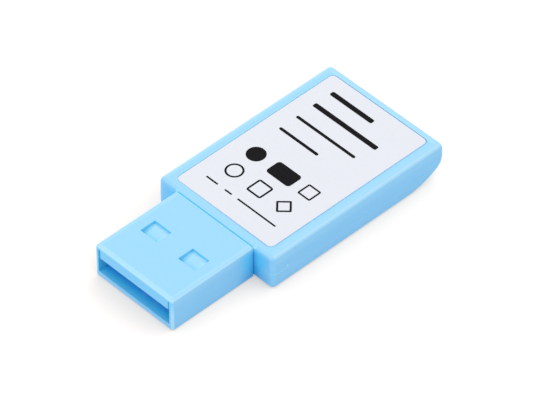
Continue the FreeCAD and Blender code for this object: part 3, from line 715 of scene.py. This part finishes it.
# Each node, the axis that its caps lie on and their depth, the ceramic's two colours and its
# roughness.
for small_part, *ceramic in (
    ("chip_antenna", 0, 0.0005, (226, 224, 214), (216, 213, 202), 0.45),
    ("ferrite_bead", 1, 0.0004, (66, 63, 62), (54, 52, 51), 0.55),
    ("capacitors", 0, 0.00022, (178, 142, 104), (164, 128, 92), 0.5),
    ("resistors", 0, 0.0002, (44, 44, 48), (36, 36, 40), 0.4),
    ("matching_inductors", 1, 0.00022, (196, 202, 196), (180, 188, 182), 0.45),
):
    finish(small_part, capped_ceramic(small_part, *ceramic))


# ---------------------------------------------------------------- top shell
# The upper half of the housing, from the same resin, with a shallow recess for the label.
# It closes over the lip of the bottom shell.

finish("top_shell", moulded_blue("top_shell_resin", 2))


# ---------------------------------------------------------------- label
# A white polyester film with round corners, printed in black. It is stuck to the floor of the
# recess, with 0.07 mm to spare round it.

def label_film():
    """Nearly white film with a soft gloss."""
    material, wire, output = new_material("label_film")
    place = wire.place()
    fibre = place.noise(1800.0, 3.0)
    wave = place.noise(220.0, 1.0)
    inputs = {
        "Base Color": fibre.rise(0.3, 0.7).colour(linear(222, 225, 233), linear(223, 226, 234)),
        "Roughness": 0.42 + 0.04 * wave,
        "Normal": (0.2 * fibre + 0.8 * wave).bump(0.05, 0.00002),
    }
    close_surface(wire, output, inputs)
    return material


finish("label", label_film())


# ---------------------------------------------------------------- print on the label
# Black ink, screen printed: four bars, two rows of plain shapes and a row of thin dashes.
# Nothing in it stands for a word, a maker or a mark.

INK_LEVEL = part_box("label")[1][2]
INK_THICKNESS = 0.000008
CORNER_POINTS = 12
WELD_DISTANCE = 0.000001


def rounded_outline(wire, width, height, corner):
    """A closed curve round the middle."""
    quad = {"Width": width, "Height": height}
    box = wire.node("GeometryNodeCurvePrimitiveQuadrilateral", None, quad)
    rounded = {"Curve": box, "Count": CORNER_POINTS, "Radius": corner, "Limit Radius": True}
    return wire.node("GeometryNodeFilletCurve", {"mode": "POLY"}, rounded)


def closed_slab(wire, flat, thickness):
    """A flat face raised by a thickness, with its own underside."""
    lift = {"Mesh": flat, "Offset Scale": thickness, "Individual": False}
    raised = wire.node("GeometryNodeExtrudeMesh", {"mode": "FACES"}, lift)
    under = wire.node("GeometryNodeFlipFaces", None, {"Mesh": flat})
    parts = wire.node("GeometryNodeJoinGeometry", None, {"Geometry": [raised, under]})
    weld = {"Geometry": parts, "Distance": WELD_DISTANCE}
    return wire.node("GeometryNodeMergeByDistance", None, weld)


def printed_shape_tree(ink):
    """A tree that adds one printed shape to what it is given: a rounded rectangle of a width
    and a height, filled or with an outline of a line's width, turned and set in place."""
    tree = bpy.data.node_groups.new("printed_shape", "GeometryNodeTree")
    geometry, number, vector = "NodeSocketGeometry", "NodeSocketFloat", "NodeSocketVector"
    numbers = ("Width", "Height", "Corner", "Line", "Turn", "Thickness")
    kinds = {"Geometry": geometry, **{name: number for name in numbers}, "Place": vector}
    for name, kind in kinds.items():
        tree.interface.new_socket(name=name, in_out="INPUT", socket_type=kind)
    tree.interface.new_socket(name="Geometry", in_out="OUTPUT", socket_type=geometry)
    given = tree.nodes.new("NodeGroupInput")
    wire = Wire(tree)
    printed, width, height, corner, line, turn, thickness, place = [
        Wire(tree, given.outputs[name]) for name in kinds
    ]

    outer = rounded_outline(wire, width, height, corner)
    inner = rounded_outline(wire, width - 2 * line, height - 2 * line, corner - line)
    both = wire.node("GeometryNodeJoinGeometry", None, {"Geometry": [outer, inner]})
    hollow = wire.node("FunctionNodeCompare", {"data_type": "FLOAT"}, {0: line, 1: 0.0})
    choice = {"Switch": hollow, "False": outer, "True": both}
    chosen = wire.node("GeometryNodeSwitch", None, choice)
    flat = wire.node("GeometryNodeFillCurve", None, {"Curve": chosen})
    slab = closed_slab(wire, flat, thickness)
    spin = wire.node("ShaderNodeCombineXYZ", None, {"Z": turn})
    shift = {"Geometry": slab, "Translation": place, "Rotation": spin}
    moved = wire.node("GeometryNodeTransform", None, shift)
    joined = wire.node("GeometryNodeJoinGeometry", None, {"Geometry": [printed, moved]})
    real = wire.node("GeometryNodeRealizeInstances", None, {"Geometry": joined})
    inked = wire.node("GeometryNodeSetMaterial", None, {"Geometry": real, "Material": ink})
    result = tree.nodes.new("NodeGroupOutput")
    tree.links.new(inked.socket, result.inputs["Geometry"])
    return tree


def label_ink():
    """Black ink, a little uneven in its cover and its gloss."""
    material, wire, output = new_material("label_ink")
    cover = wire.place().noise(2400.0, 2.0)
    inputs = {
        "Base Color": cover.rise(0.3, 0.7).colour(linear(14, 14, 17), linear(22, 22, 26)),
        "Roughness": 0.80 + 0.10 * cover,
        "Normal": cover.bump(0.2, 0.000004),
        "Specular IOR Level": 0.12,
    }
    close_surface(wire, output, inputs)
    return material


def add_shape(sheet, tree, across, along, width, height, corner=0.1, line=0, turn=0):
    """A step of the sheet's that prints one shape. All lengths are in millimetres, the turn is
    in degrees. A line of no width stands for a filled shape."""
    inputs = [item for item in tree.interface.items_tree if item.in_out == "INPUT"]
    sockets = {item.name: item.identifier for item in inputs}
    step = sheet.modifiers.new("printed_shape", "NODES")
    step.node_group = tree
    lengths = {"Width": width, "Height": height, "Corner": corner, "Line": line}
    for name, value in lengths.items():
        step[sockets[name]] = value / 1000
    step[sockets["Turn"]] = math.radians(turn)
    step[sockets["Thickness"]] = INK_THICKNESS
    step[sockets["Place"]] = (across / 1000, along / 1000, INK_LEVEL)


def print_label(shapes):
    """One piece of all the shapes. Each is its middle across and along, its width and height,
    and what else it has."""
    tree = printed_shape_tree(label_ink())
    mesh = bpy.data.meshes.new("label_print_start")
    sheet = bpy.data.objects.new("label_print_start", mesh)
    bpy.context.scene.collection.objects.link(sheet)
    for *measures, more in shapes:
        add_shape(sheet, tree, *measures, **more)
    settled = sheet.evaluated_get(bpy.context.evaluated_depsgraph_get())
    plain = bpy.data.meshes.new_from_object(settled)
    plain.name = "label_print"
    sheet.modifiers.clear()
    bpy.data.objects.remove(sheet)
    bpy.data.meshes.remove(mesh)
    piece = bpy.data.objects.new("label_print", plain)
    bpy.context.scene.collection.objects.link(piece)
    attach(piece, "root")


print_label([
    (-2.15, 15.70, 6.5, 0.66, {"corner": 0.2}),
    (-0.51, 13.08, 9.8, 0.66, {"corner": 0.2}),
    (-0.82, 10.37, 9.1, 0.40, {"corner": 0.2}),
    (-2.35, 7.77, 6.0, 0.40, {"corner": 0.2}),
    (-4.12, 3.05, 2.3, 2.3, {"corner": 1.15}),
    (0.22, 3.05, 3.6, 2.2, {"corner": 0.45}),
    (4.17, 3.05, 1.9, 1.9, {"corner": 0.2, "line": 0.22}),
    (-3.90, -0.41, 2.2, 2.2, {"corner": 1.1, "line": 0.24}),
    (0.07, -0.41, 2.2, 2.2, {"corner": 0.3, "line": 0.24}),
    (3.83, -0.41, 1.7, 1.7, {"corner": 0.15, "line": 0.24, "turn": 45}),
    (-4.48, -3.19, 1.8, 0.22, {}),
    (-1.95, -3.19, 1.1, 0.22, {}),
    (2.45, -3.19, 5.9, 0.22, {}),
])
